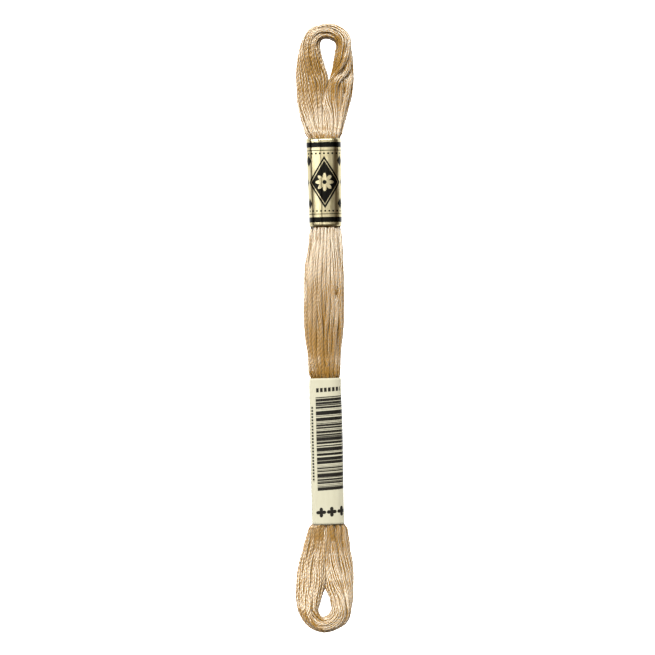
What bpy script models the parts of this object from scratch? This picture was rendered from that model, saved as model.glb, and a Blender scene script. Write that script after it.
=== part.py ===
"""A hank of embroidery floss: one long strand wound to and fro into a slim skein with an open
loop at each end, held by two paper bands. It lies on its back with its length along +Y.

Sizes are in millimetres here, and MM turns them into metres where a vertex is made.
"""
import math
from collections import namedtuple

import bmesh
import bpy

MM = 0.001

# Paper bands. The sheet goes once round, and its ends overlap on the back, where the skein rests.
Band = namedtuple("Band", "name centre_x centre_y length width_top width_bottom lean")
UPPER_BAND = Band("upper_band", -0.05, 38.20, 23.1, 9.25, 8.67, math.radians(1.24))
LOWER_BAND = Band("lower_band", 0.47, -32.50, 38.4, 8.49, 8.68, math.radians(1.32))
SHEET = 0.25
CLEARANCE = 0.30
BAND_TOP = 6.20
BAND_SQUARENESS = 2.7
LAP_WIDTH = 3.4
LAP_RAMP = 0.8
BAND_FLATTENING = 0.20
BAND_POINTS = 44
BAND_ROWS = 4
PINCH = 0.45

# The skein's sides from end to end. Each row crosses both legs at one y.
Row = namedtuple("Row", "y left right low high")
TOP_ROWS = [
    Row(74.07, -6.35, 6.85, -0.20, 7.40),
    Row(71.57, -6.91, 7.06, -0.25, 7.05),
    Row(69.19, -7.22, 7.25, -0.30, 6.45),
    Row(65.24, -7.55, 7.41, -0.30, 5.20),
    Row(62.60, -7.62, 7.04, -0.30, 4.60),
    Row(59.97, -7.45, 6.66, -0.30, 4.35),
    Row(57.33, -6.98, 5.98, -0.25, 4.45),
    Row(54.70, -6.20, 5.34, -0.10, 4.90),
    Row(52.06, -5.48, 4.69, 0.10, 5.55),
    Row(51.00, -5.15, 4.42, 0.25, 5.80),
]
MIDDLE_ROWS = [
    Row(25.50, -4.16, 4.45, 0.25, 5.80),
    Row(22.54, -4.28, 4.70, 0.00, 6.45),
    Row(19.40, -4.65, 4.90, -0.15, 7.15),
    Row(16.21, -5.32, 5.08, -0.25, 7.75),
    Row(12.50, -5.56, 5.14, -0.30, 8.20),
    Row(9.88, -5.66, 5.16, -0.30, 8.30),
    Row(1.98, -5.66, 5.14, -0.30, 8.10),
    Row(-2.77, -5.22, 4.74, -0.20, 7.70),
    Row(-5.93, -4.69, 4.38, -0.10, 7.30),
    Row(-9.09, -4.43, 4.22, 0.00, 6.80),
    Row(-12.10, -4.30, 4.15, 0.25, 6.10),
]
BOTTOM_ROWS = [
    Row(-52.90, -4.15, 5.75, 0.25, 5.60),
    Row(-54.96, -4.61, 6.20, 0.00, 5.30),
    Row(-58.12, -5.48, 6.59, -0.20, 5.10),
    Row(-61.28, -6.46, 7.04, -0.30, 5.35),
    Row(-64.45, -7.06, 7.38, -0.30, 5.95),
    Row(-67.61, -7.43, 7.43, -0.30, 6.70),
    Row(-70.77, -7.33, 7.25, -0.25, 7.45),
    Row(-74.07, -6.96, 6.80, -0.20, 8.00),
]

# The eye of each end loop, from where the legs part to where the turn begins.
Eye = namedtuple("Eye", "y left right")
TOP_EYE = [
    Eye(65.24, 1.19, 1.19),
    Eye(66.82, 0.82, 1.56),
    Eye(69.19, 0.11, 2.21),
    Eye(71.57, -0.90, 2.77),
    Eye(74.07, -1.32, 3.16),
]
BOTTOM_EYE = [
    Eye(-67.90, 0.13, 0.13),
    Eye(-69.19, -0.21, 0.58),
    Eye(-70.77, -0.79, 1.27),
    Eye(-72.35, -1.40, 1.71),
    Eye(-74.07, -1.79, 1.90),
]

# The turn at each end, as rays from its centre. Angles are in degrees from +X.
Ray = namedtuple("Ray", "angle inner outer high")
TOP_CENTRE = (0.92, 74.07)
TOP_TURN = [
    Ray(180, 2.24, 7.27, 7.40),
    Ray(157, 2.52, 6.72, 7.50),
    Ray(136, 2.62, 6.40, 7.60),
    Ray(110, 2.35, 5.77, 7.60),
    Ray(90, 2.20, 5.93, 7.60),
    Ray(60, 2.05, 5.82, 7.60),
    Ray(30, 2.25, 6.10, 7.50),
    Ray(0, 2.24, 5.93, 7.40),
]
BOTTOM_CENTRE = (0.05, -74.07)
BOTTOM_TURN = [
    Ray(0, 1.85, 6.75, 8.00),
    Ray(-25, 1.72, 6.62, 8.10),
    Ray(-50, 1.75, 6.22, 8.15),
    Ray(-75, 2.05, 5.93, 8.15),
    Ray(-105, 2.50, 5.90, 8.15),
    Ray(-130, 2.30, 6.05, 8.15),
    Ray(-155, 1.98, 6.40, 8.10),
    Ray(-180, 1.84, 7.01, 8.00),
]

# How finely the skein is stepped, and the ridges that its strands raise along it.
ROW_STEP = 3.0
TURN_STEP = 13.0
RIDGES = 11
POINTS_PER_RIDGE = 3
RIDGE_DEPTH = 0.32
PRESSED_DEPTH = 0.12
DRIFT = 0.060
DRIFT_RIPPLE = 0.035
WALL_POINTS = 5
SKEIN_SQUARENESS = 2.35
WALL_ARC = math.radians(38)
EYE_ROUNDING = 6.0
CLEFT_DEPTH = 1.5
CLEFT_WIDTH = 1.1
CLEFT_REACH = 9.0
OUTLINE_SAMPLES = 120

FLOSS_TAN = (0.52, 0.37, 0.20, 1.0)
BAND_GOLD = (0.30, 0.26, 0.12, 1.0)
LABEL_CREAM = (0.80, 0.74, 0.55, 1.0)


def smooth_column(rows, place, column):
    """A column's value at a place, on a monotone cubic through the rows' first column."""
    points = sorted((row[0], getattr(row, column)) for row in rows)
    xs = [x for x, value in points]
    values = [value for x, value in points]
    place = min(max(place, xs[0]), xs[-1])
    slopes = [(b - a) / (x1 - x0) for a, b, x0, x1 in zip(values, values[1:], xs, xs[1:])]
    tangents = [slopes[0]]
    for before, after in zip(slopes, slopes[1:]):
        steady = before * after > 0
        tangents.append(2 * before * after / (before + after) if steady else 0.0)
    tangents.append(slopes[-1])
    cell = max(i for i in range(len(xs) - 1) if xs[i] <= place)
    span = xs[cell + 1] - xs[cell]
    t = (place - xs[cell]) / span
    return ((1 + 2 * t) * (1 - t) ** 2 * values[cell]
            + t * (1 - t) ** 2 * span * tangents[cell]
            + t * t * (3 - 2 * t) * values[cell + 1]
            + t * t * (t - 1) * span * tangents[cell + 1])


def ease(value):
    value = min(max(value, 0.0), 1.0)
    return value * value * (3 - 2 * value)


def super_point(angle, squareness):
    """A point of the unit superellipse, which is a circle at squareness 2."""
    across, up = math.cos(angle), math.sin(angle)
    power = 2 / squareness
    return math.copysign(abs(across) ** power, across), math.copysign(abs(up) ** power, up)


def spread(start, end, step):
    """Even places from start to end, both included, about a step apart."""
    count = max(1, round(abs(end - start) / step))
    return [start + (end - start) * i / count for i in range(count + 1)]


def band_centre(band, y):
    return band.centre_x - math.tan(band.lean) * (y - band.centre_y)


def band_width(band, y):
    share = 0.5 + (y - band.centre_y) / band.length
    return band.width_bottom + (band.width_top - band.width_bottom) * share


def row_in_band(band, y):
    """The skein's row where the paper presses it, a clearance inside the sheet."""
    half = band_width(band, y) / 2 - SHEET - CLEARANCE
    centre = band_centre(band, y)
    return Row(y, centre - half, centre + half, 2 * SHEET + CLEARANCE, BAND_TOP - SHEET - CLEARANCE)


def band_ends(band):
    """Where the skein comes out of the paper, above and below."""
    reach = band.length / 2 + PINCH
    return band.centre_y + reach, band.centre_y - reach


def skein_rows():
    rows = list(TOP_ROWS)
    rows += [row_in_band(UPPER_BAND, y) for y in band_ends(UPPER_BAND)]
    rows += MIDDLE_ROWS
    rows += [row_in_band(LOWER_BAND, y) for y in band_ends(LOWER_BAND)]
    return rows + BOTTOM_ROWS


SKEIN_ROWS = skein_rows()
TOP_FORK = TOP_EYE[0]
BOTTOM_FORK = BOTTOM_EYE[0]


def middle_line(y):
    """x of the line where the two legs touch."""
    share = (y - BOTTOM_FORK.y) / (TOP_FORK.y - BOTTOM_FORK.y)
    return BOTTOM_FORK.left + (TOP_FORK.left - BOTTOM_FORK.left) * share


def pressed(y):
    """1 where a paper band presses the skein, 0 clear of the bands."""
    tops_and_ends = [band_ends(band) for band in (UPPER_BAND, LOWER_BAND)]
    return max(1 - ease(max(y - top, end - y, 0) / 2) for top, end in tops_and_ends)


# One place along the wound loop: its inner and outer sides, its height, and how open the eye is.
Station = namedtuple("Station", "key inner outer low high opening cleft depth")


def leg_station(side, y):
    """The station of one leg, side "left" or "right", where a row at y crosses it."""
    outer = smooth_column(SKEIN_ROWS, y, side)
    low = smooth_column(SKEIN_ROWS, y, "low")
    high = smooth_column(SKEIN_ROWS, y, "high")
    inner, opening = middle_line(y), 0.0
    if y > TOP_FORK.y:
        inner = smooth_column(TOP_EYE, y, side)
        opening = ease((y - TOP_FORK.y) / EYE_ROUNDING)
    elif y < BOTTOM_FORK.y:
        inner = smooth_column(BOTTOM_EYE, y, side)
        opening = ease((BOTTOM_FORK.y - y) / EYE_ROUNDING)
    from_fork = max(0.0, min(abs(TOP_FORK.y - y), abs(BOTTOM_FORK.y - y)))
    cleft = CLEFT_DEPTH * (1 - ease(from_fork / CLEFT_REACH)) * (1 - opening)
    depth = RIDGE_DEPTH + (PRESSED_DEPTH - RIDGE_DEPTH) * pressed(y)
    return Station((side, round(y, 4)), (inner, y), (outer, y), low, high, opening, cleft, depth)


def turn_station(turn, centre, angle):
    """The station at an angle of the turn at one end."""
    across, along = math.cos(math.radians(angle)), math.sin(math.radians(angle))
    inner = smooth_column(turn, angle, "inner")
    outer = smooth_column(turn, angle, "outer")
    high = smooth_column(turn, angle, "high")
    return Station(("turn", centre, round(angle, 4)),
                   (centre[0] + across * inner, centre[1] + along * inner),
                   (centre[0] + across * outer, centre[1] + along * outer),
                   TOP_ROWS[0].low, high, 1.0, 0.0, RIDGE_DEPTH)


def leg_places():
    """The y of every row, from the bottom turn up to the top one. The forks, the ends of the
    bands and the rows just outside the paper are among them."""
    low_top, low_end = band_ends(LOWER_BAND)
    high_top, high_end = band_ends(UPPER_BAND)
    stops = [BOTTOM_CENTRE[1], BOTTOM_FORK.y, BOTTOM_ROWS[0].y, low_end, low_top,
             MIDDLE_ROWS[-1].y, MIDDLE_ROWS[0].y, high_end, high_top, TOP_ROWS[-1].y,
             TOP_FORK.y, TOP_CENTRE[1]]
    places = [stops[0]]
    for start, end in zip(stops, stops[1:]):
        places += spread(start, end, ROW_STEP)[1:]
    return places


def circuit():
    """Every station once round the loop: up the left leg, over the top and down the right."""
    places = leg_places()
    stations = [leg_station("left", y) for y in places]
    stations += [turn_station(TOP_TURN, TOP_CENTRE, a) for a in spread(180, 0, TURN_STEP)[1:-1]]
    stations += [leg_station("right", y) for y in reversed(places)]
    stations += [turn_station(BOTTOM_TURN, BOTTOM_CENTRE, a)
                 for a in spread(0, -180, TURN_STEP)[1:-1]]
    return stations


def outline_point(station, share):
    """A point (across, up) of a station's smooth outline, from its inner top round its outer
    side at 0.5 to its inner bottom. The shape goes from half an oval to a whole one."""
    width = math.dist(station.inner, station.outer)
    middle, half = (station.low + station.high) / 2, (station.high - station.low) / 2
    across, up = super_point(math.pi / 2 - math.pi * share, SKEIN_SQUARENESS)
    closed = (width * across, middle + half * up)
    reach = math.pi - WALL_ARC
    across, up = super_point(reach * (1 - 2 * share), SKEIN_SQUARENESS)
    opened = (width * (1 + across) / 2, middle + half * up)
    mix = station.opening
    across = closed[0] + (opened[0] - closed[0]) * mix
    up = closed[1] + (opened[1] - closed[1]) * mix
    cleft = station.cleft * math.exp(-(across / CLEFT_WIDTH) ** 2)
    return across, up - math.copysign(cleft, up - middle) * min(1.0, abs(up - middle))


def wall_point(station, share):
    """A point of the side that faces the eye, from the inner bottom at 0 to the inner top at 1."""
    width = math.dist(station.inner, station.outer)
    middle, half = (station.low + station.high) / 2, (station.high - station.low) / 2
    top, bottom = outline_point(station, 0.0), outline_point(station, 1.0)
    across, up = super_point(math.pi + WALL_ARC * (1 - 2 * share), SKEIN_SQUARENESS)
    opened = (width * (1 + across) / 2, middle + half * up)
    straight = [b + (t - b) * share for b, t in zip(bottom, top)]
    mix = station.opening
    return tuple(s + (o - s) * mix for s, o in zip(straight, opened))


def ridge_shift(share, place):
    """How far the strands drift round the leg, so that they cross it in slow diagonals. It
    repeats once round the loop and is nothing where the legs touch."""
    turn = 2 * math.pi * place
    drift = DRIFT * math.sin(3 * turn + 0.7) + DRIFT_RIPPLE * math.sin(5 * turn + 2.1 + 3 * share)
    return drift * math.sin(math.pi * share)


def ridge_depth(index, place):
    """0 on a ridge and about 1 in the groove between two, deeper where locks of strands part."""
    if index % POINTS_PER_RIDGE:
        return 0.0
    turn = 2 * math.pi * place
    return 0.8 + 0.5 * max(0.0, math.sin(4 * turn + 2.4 * index))


def strand_points(station, place):
    """The station's ridged outline as (across, up) points at even steps, moved by the drift."""
    samples = [outline_point(station, i / OUTLINE_SAMPLES) for i in range(OUTLINE_SAMPLES + 1)]
    lengths = [0.0]
    for before, after in zip(samples, samples[1:]):
        lengths.append(lengths[-1] + math.dist(before, after))
    count = RIDGES * POINTS_PER_RIDGE
    points = []
    cell = 0
    for index in range(count + 1):
        share = index / count
        target = (share + ridge_shift(share, place)) * lengths[-1]
        while cell < OUTLINE_SAMPLES - 1 and lengths[cell + 1] < target:
            cell += 1
        before, after = samples[cell], samples[cell + 1]
        along = min(1.0, (target - lengths[cell]) / (lengths[cell + 1] - lengths[cell]))
        run = math.dist(before, after)
        normal = (-(after[1] - before[1]) / run, (after[0] - before[0]) / run)
        inward = station.depth * ridge_depth(index, place)
        points.append(tuple(b + (a - b) * along - n * inward
                            for b, a, n in zip(before, after, normal)))
    return points


def in_space(station, point):
    """A section's (across, up) point in the world, in millimetres, flattened on the table."""
    across, up = point
    width = math.dist(station.inner, station.outer)
    share = across / width
    x = station.inner[0] + (station.outer[0] - station.inner[0]) * share
    y = station.inner[1] + (station.outer[1] - station.inner[1]) * share
    return x, y, max(up, 0.0)


def is_closed(station):
    side, y = station.key[0], station.key[1]
    return side != "turn" and BOTTOM_FORK.y - 1e-6 <= y <= TOP_FORK.y + 1e-6


def is_fork(station):
    y = station.key[1]
    return is_closed(station) and min(abs(y - TOP_FORK.y), abs(y - BOTTOM_FORK.y)) < 1e-6


def build_hank():
    """The wound floss as one closed body. Where the legs touch they share their seam's vertices."""
    mesh = bmesh.new()
    shared = {}

    def vertex(key, position):
        if key not in shared:
            shared[key] = mesh.verts.new([value * MM for value in position])
        return shared[key]

    stations = circuit()
    loops = []
    for index, station in enumerate(stations):
        outline = strand_points(station, index / len(stations))
        owner = station.key
        seam = ("seam", station.key[1]) if is_closed(station) else owner
        last = len(outline) - 1
        ring = []
        for i, point in enumerate(outline):
            key = (seam, i) if i in (0, last) else (owner, i)
            ring.append(vertex(key, in_space(station, point)))
        wall = []
        if not is_closed(station) or is_fork(station):
            for i in range(1, WALL_POINTS + 1):
                point = wall_point(station, i / (WALL_POINTS + 1))
                wall.append(vertex((seam, "wall", i), in_space(station, point)))
        loops.append((ring, wall))

    for (ring, wall), (next_ring, next_wall) in zip(loops, loops[1:] + loops[:1]):
        for i in range(len(ring) - 1):
            mesh.faces.new((ring[i], ring[i + 1], next_ring[i + 1], next_ring[i]))
        if wall and next_wall:
            here = [ring[-1]] + wall + [ring[0]]
            there = [next_ring[-1]] + next_wall + [next_ring[0]]
            for i in range(len(here) - 1):
                mesh.faces.new((here[i], here[i + 1], there[i + 1], there[i]))
    bmesh.ops.recalc_face_normals(mesh, faces=mesh.faces)
    return mesh


def band_outline(width):
    """The inside of a sleeve as (across, up) points, pressed flat underneath."""
    bottom, top = 2 * SHEET, BAND_TOP - SHEET
    lowest = bottom - BAND_FLATTENING
    middle, half = (lowest + top) / 2, (top - lowest) / 2
    points = []
    for i in range(BAND_POINTS):
        across, up = super_point(2 * math.pi * i / BAND_POINTS, BAND_SQUARENESS)
        points.append(((width / 2 - SHEET) * across, max(middle + half * up, bottom)))
    return points


def offset_outline(points, distance):
    """The outline moved outwards by a distance, along the normal at each point."""
    moved = []
    for i, (across, up) in enumerate(points):
        before, after = points[i - 1], points[(i + 1) % len(points)]
        run = math.dist(before, after)
        moved.append((across + distance * (after[1] - before[1]) / run,
                      up - distance * (after[0] - before[0]) / run))
    return moved


def lap_drop(across):
    """How far the outer end of the sheet lies below the rest of it: a full sheet over the lap,
    ending in an edge on the left and easing back up on the right."""
    if across < -LAP_WIDTH / 2:
        return 0.0
    return SHEET * (1 - ease((across - LAP_WIDTH / 2) / LAP_RAMP))


def band_outside(inside):
    """The outside of the sleeve. The lap's edge is a step with a point above and one below."""
    outside = []
    stepped = False
    for across, up in offset_outline(inside, SHEET):
        under = up < SHEET * 1.2
        if under and across > -LAP_WIDTH / 2 and not stepped:
            outside.append((-LAP_WIDTH / 2, SHEET))
            outside.append((-LAP_WIDTH / 2, 0.0))
            stepped = True
        outside.append((across, up - lap_drop(across) if under else up))
    return outside


def fill_rim(mesh, inner, outer):
    """Close a sleeve's end with one flat ring between its inner and outer edges."""
    edges = []
    for loop in (inner, outer):
        edges += [mesh.edges.get((a, b)) or mesh.edges.new((a, b))
                  for a, b in zip(loop, loop[1:] + loop[:1])]
    bmesh.ops.triangle_fill(mesh, edges=edges, use_beauty=True)


def build_band(band):
    """A paper sleeve about its own centre, its length along Y."""
    mesh = bmesh.new()
    rings = []
    for y in spread(-band.length / 2, band.length / 2, band.length / BAND_ROWS):
        inside = band_outline(band_width(band, band.centre_y + y))
        pair = []
        for outline in (inside, band_outside(inside)):
            pair.append([mesh.verts.new((across * MM, y * MM, up * MM)) for across, up in outline])
        rings.append(pair)
    for here, there in zip(rings, rings[1:]):
        for loop, next_loop in zip(here, there):
            for i in range(len(loop)):
                mesh.faces.new((loop[i - 1], loop[i], next_loop[i], next_loop[i - 1]))
    for inner, outer in (rings[0], rings[-1]):
        fill_rim(mesh, inner, outer)
    bmesh.ops.recalc_face_normals(mesh, faces=mesh.faces)
    return mesh


def material(name, colour, roughness, metallic=0.0):
    made = bpy.data.materials.new(name)
    made.use_nodes = True
    shader = made.node_tree.nodes["Principled BSDF"]
    shader.inputs["Base Color"].default_value = colour
    shader.inputs["Roughness"].default_value = roughness
    shader.inputs["Metallic"].default_value = metallic
    return made


def add_object(name, built, finish, location=(0, 0, 0), turn=0.0):
    mesh = bpy.data.meshes.new(name)
    built.to_mesh(mesh)
    built.free()
    mesh.shade_smooth()
    mesh.set_sharp_from_angle(angle=math.radians(50))
    mesh.materials.append(finish)
    added = bpy.data.objects.new(name, mesh)
    added.location = [value * MM for value in location]
    added.rotation_euler = (0, 0, turn)
    bpy.context.scene.collection.objects.link(added)
    return added


def centre_on_origin(objects):
    """Move the objects so that the middle of the part's footprint is the origin."""
    bpy.context.view_layer.update()
    corners = [o.matrix_world @ v.co for o in objects for v in o.data.vertices]
    for axis in (0, 1):
        values = [corner[axis] for corner in corners]
        for added in objects:
            added.location[axis] -= (min(values) + max(values)) / 2


def main():
    for old in list(bpy.data.objects):
        bpy.data.objects.remove(old)
    objects = [add_object("floss_hank", build_hank(), material("floss", FLOSS_TAN, 0.45))]
    for band, colour, metallic in ((UPPER_BAND, BAND_GOLD, 0.5), (LOWER_BAND, LABEL_CREAM, 0.0)):
        finish = material(band.name, colour, 0.4, metallic)
        place = (band.centre_x, band.centre_y, 0)
        objects.append(add_object(band.name, build_band(band), finish, place, band.lean))
    centre_on_origin(objects)


main()
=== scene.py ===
"""Looks of the hank of embroidery floss.

The floss is wound in numpy: one length of it runs round the skein turn after turn, its turns push
each other apart inside the outline of the frame's solid, and each turn is laid up from its six
threads. The paper bands are thin printed sheets on the outside of the frame's bands. Everything is
in metres, and MM is a millimetre.
"""
import math
from collections import namedtuple

import bpy
import numpy as np
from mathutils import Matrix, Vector
from mathutils.bvhtree import BVHTree


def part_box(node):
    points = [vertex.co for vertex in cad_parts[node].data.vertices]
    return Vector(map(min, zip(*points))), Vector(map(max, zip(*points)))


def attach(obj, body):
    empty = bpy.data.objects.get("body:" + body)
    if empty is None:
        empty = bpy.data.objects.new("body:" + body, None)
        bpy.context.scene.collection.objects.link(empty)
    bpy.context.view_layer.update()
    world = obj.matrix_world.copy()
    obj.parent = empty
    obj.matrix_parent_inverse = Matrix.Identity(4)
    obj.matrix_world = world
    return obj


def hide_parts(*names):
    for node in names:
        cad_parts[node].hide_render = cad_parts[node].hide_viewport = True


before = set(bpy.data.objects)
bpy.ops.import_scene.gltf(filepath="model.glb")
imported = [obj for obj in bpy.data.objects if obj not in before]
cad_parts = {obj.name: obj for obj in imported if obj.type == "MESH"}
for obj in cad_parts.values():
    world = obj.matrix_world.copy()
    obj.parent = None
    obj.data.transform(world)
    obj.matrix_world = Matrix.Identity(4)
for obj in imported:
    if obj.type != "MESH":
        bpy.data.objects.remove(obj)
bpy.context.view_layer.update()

MM = 0.001
SEED = 11
# Keeps a length that divides from being nothing
TINY = 1e-9

# The photograph's frame: its size in pixels, the pixel column of x = 0, and its scale.
PHOTO_PIXELS = 655
PHOTO_MIDDLE_X = 324.4
PIXEL = 0.26359 * MM

# The sections are planes across the skein. Rows of them stand a step apart between the places
# where the floss starts to turn, and a fan of them goes round each end. Rays from about the middle
# of the skein's height find the outline in each.
TURN_START = 74.06 * MM
ROW_STEP = 1.5 * MM
FAN_STEPS = 10
OUTLINE_RAYS = 64
MIDDLE_HEIGHT = 2.7 * MM

# How far the strands stand outside the solid, and more from some way out, towards the loops. The
# change is evened out over so many sections on either side.
PLUMP = 0.10 * MM
LOOP_PLUMP = 0.26 * MM
PLUMP_FROM = 45 * MM
PLUMP_REACH = 4

# How far from the middle the threads begin to lie as in a loop, and over what length they change
LOOP_FROM = 48 * MM
LOOP_EASE = 12 * MM

# The turns' slots in a unit disk: the square in which they start, the share of the disk that they
# fill, and the steps in which they push each other apart. The disk covers so much of a section and
# turns in waves along the skein. In the hidden sections each turn passes on to the next one's slot.
TURNS = 25
SLOT_START = 0.6
SLOT_FILL = 0.80
SLOT_STEPS = 400
SPREAD = 0.85
Twist = namedtuple("Twist", "angle waves phase")
TWISTS = [Twist(0.35, 2, 0.6), Twist(0.25, 5, 1.9)]
HIDDEN_SECTIONS = 8

# How far a turn wanders from its slot, as a share of its leg's half width and height, and over what
# length. It wanders less in the loops, round a distance from the middle.
WANDER = 0.13
LOOP_WANDER = 0.06
LOOP_WANDER_AT = 60 * MM
LOOP_WANDER_REACH = 16 * MM
WANDER_GAIN = 1.6
WANDER_LENGTH = 34 * MM

# How the turns then push each other into place inside the outline: the share of it that they fill,
# the share of an overlap that a step takes back, and the least room round the middle. They keep to
# their own side of a fork by so much for each length from it, and are less stiff in the last steps.
FILL = 0.88
RELAX_STEPS = 220
PUSH = 0.30
LEAST_ROOM = 0.2 * MM
FORK_SLANT = 0.35
STIFFNESS = 0.5
LAST_STIFFNESS = 0.25
LAST_FROM = 0.7

# The topmost strands are raised to the outline, evened out over so many sections on either side.
TOP_STRANDS = 3
TOP_REACH = 2

# How far apart the points of the floss's path are
PATH_STEP = 0.33 * MM

# How much higher than the solid the strands stand near places along the skein
Lift = namedtuple("Lift", "y height reach")
LIFTS = [
    Lift(56.0 * MM, -0.20 * MM, 9.0 * MM),
    Lift(49.9 * MM, 0.42 * MM, 2.6 * MM),
    Lift(11.2 * MM, 0.16 * MM, 7.0 * MM),
    Lift(-4.6 * MM, -0.14 * MM, 6.0 * MM),
    Lift(-12.0 * MM, 0.25 * MM, 4.5 * MM),
    Lift(-51.2 * MM, 0.18 * MM, 1.7 * MM),
    Lift(-53.4 * MM, -0.12 * MM, 2.2 * MM),
    Lift(-67.9 * MM, 0.08 * MM, 4.5 * MM),
    Lift(-77.0 * MM, 0.75 * MM, 12.0 * MM),
]

# Locks: the few turns that lie on top nearest a place in a leg, and stray across it and rise there.
# Side 0 is the left leg and side 1 the right.
Lock = namedtuple("Lock", "side y across shift rise reach count")
LOCKS = [
    Lock(1, -11.0 * MM, 4.2 * MM, -2.4 * MM, 0.0 * MM, 11.0 * MM, 1),
    Lock(0, -60.0 * MM, 0.8 * MM, -3.2 * MM, 0.5 * MM, 10.5 * MM, 4),
]

# The floss has six threads. A turn's room is a share of the strands' spacing, larger in the loops,
# and a thread's radius is a share of that. The threads go once round a turn's middle in a lay.
THREADS = 6
MIDDLE_ROOM = 0.86
LOOP_ROOM = 1.12
THREAD_SHARE = 0.195
THREAD_INSET = 0.85
LAY = 24 * MM

# How far each thread swings round the middle, in radians, how far from it the thread lies, as a
# share of the reach that it has, and how loose it is there, each by slow noise. LOOP_SWING and
# LOOP_AWAY are what the loops add.
SWING = 0.22
LOOP_SWING = 0.05
SWING_LENGTH = 30 * MM
AWAY = 0.95
LOOP_AWAY = 0.05
LEAST_AWAY, MOST_AWAY = 0.2, 1.7
LOOSE = 0.10
LOOSE_LENGTH = 24 * MM
THREAD_NOISE = 1.5

# Each thread is two plies twisted into an S: a section of six points, drawn in between the plies.
# Only the stretches nearer the outline than the seen depth have all the path's points.
PLY_PITCH = 2.3 * MM
PLY_ANGLES = np.radians([30, 90, 150, 210, 270, 330])
PLY_ROUND = np.array([1.10, 0.82, 1.10, 1.10, 0.82, 1.10])
SEEN_DEPTH = 0.95 * MM
HIDDEN_STRIDE = 6

# The paper of the bands, and how its outline is read from a height inside the sleeve
PAPER = 0.11 * MM
SLEEVE_RAYS = 168
SLEEVE_STEP = 0.55 * MM
SLEEVE_HEIGHT = 3.1 * MM
SLEEVE_END = 0.5 * MM
SLEEVE_INSET = 0.15 * MM
FACET_SMOOTHING = 3
FACET_REACH = 2

# How the paper is dented by the strands, buckles slowly in two ways, flares at its ends in waves,
# and stays flat where the band lies on its back. The numbers without MM are in millimetres.
DENT = 0.012
DENT_PITCH = 1.45
DENT_DRIFT = 0.3
DENT_LEAST, DENT_MORE = 0.6, 0.4
BUCKLE_LENGTH = 9 * MM
Buckle = namedtuple("Buckle", "depth width")
WIDE_BUCKLE = Buckle(0.045, 2.1)
NARROW_BUCKLE = Buckle(0.03, 1.3)
FLARE = 0.03
FLARE_WAVE = 0.07
FLARE_REACH = 0.8
FLARE_STEP = 0.16 * MM
FLARE_WAVELENGTH = 2.4 * MM
FLAT_BELOW = 0.2
FLAT_EASE = 1.2
INNER_LIFT = 0.02 * MM


def smooth_noise(random, count, step, length, columns):
    """Columns of slow noise along a path of count points a step apart: a smooth curve through
    random values that stand about that length apart."""
    spare = 4
    knots = max(spare, int(count * step / length) + spare)
    values = random.standard_normal((knots, columns))
    # It ends just short of the last value that has a neighbour after it.
    at = np.linspace(0, knots - 3.001, count) + 1
    cell = at.astype(int)
    t = (at - cell)[:, None]
    before, here, after = values[cell - 1], values[cell], values[cell + 1]
    return 0.5 * (1 - t) ** 2 * before + (0.5 + t * (1 - t)) * here + 0.5 * t ** 2 * after


def bump(distance, reach):
    """1 at no distance, easing to 0 at the reach."""
    return np.cos(np.clip(distance / reach, -1, 1) * math.pi) / 2 + 0.5


def smoothed(values, reach):
    """A ring of values, each the mean of those up to the reach on either side of it."""
    return sum(np.roll(values, shift) for shift in range(-reach, reach + 1)) / (2 * reach + 1)


# --- The outlines that the frame's solids give ---


def solid_tree(node):
    """The surface of a node's solid, for rays to meet."""
    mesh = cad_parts[node].data
    return BVHTree.FromPolygons([v.co for v in mesh.vertices], [p.vertices for p in mesh.polygons])


def crossings(tree, start, direction, reach=40 * MM, skip=0.01 * MM):
    """How far along a ray it crosses a solid's surface, each time."""
    found, travelled = [], 0.0
    while True:
        point = Vector(start) + Vector(direction) * travelled
        hit, _, _, distance = tree.ray_cast(point, Vector(direction), reach - travelled)
        if hit is None:
            return found
        found.append(travelled + distance)
        travelled += distance + skip


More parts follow.
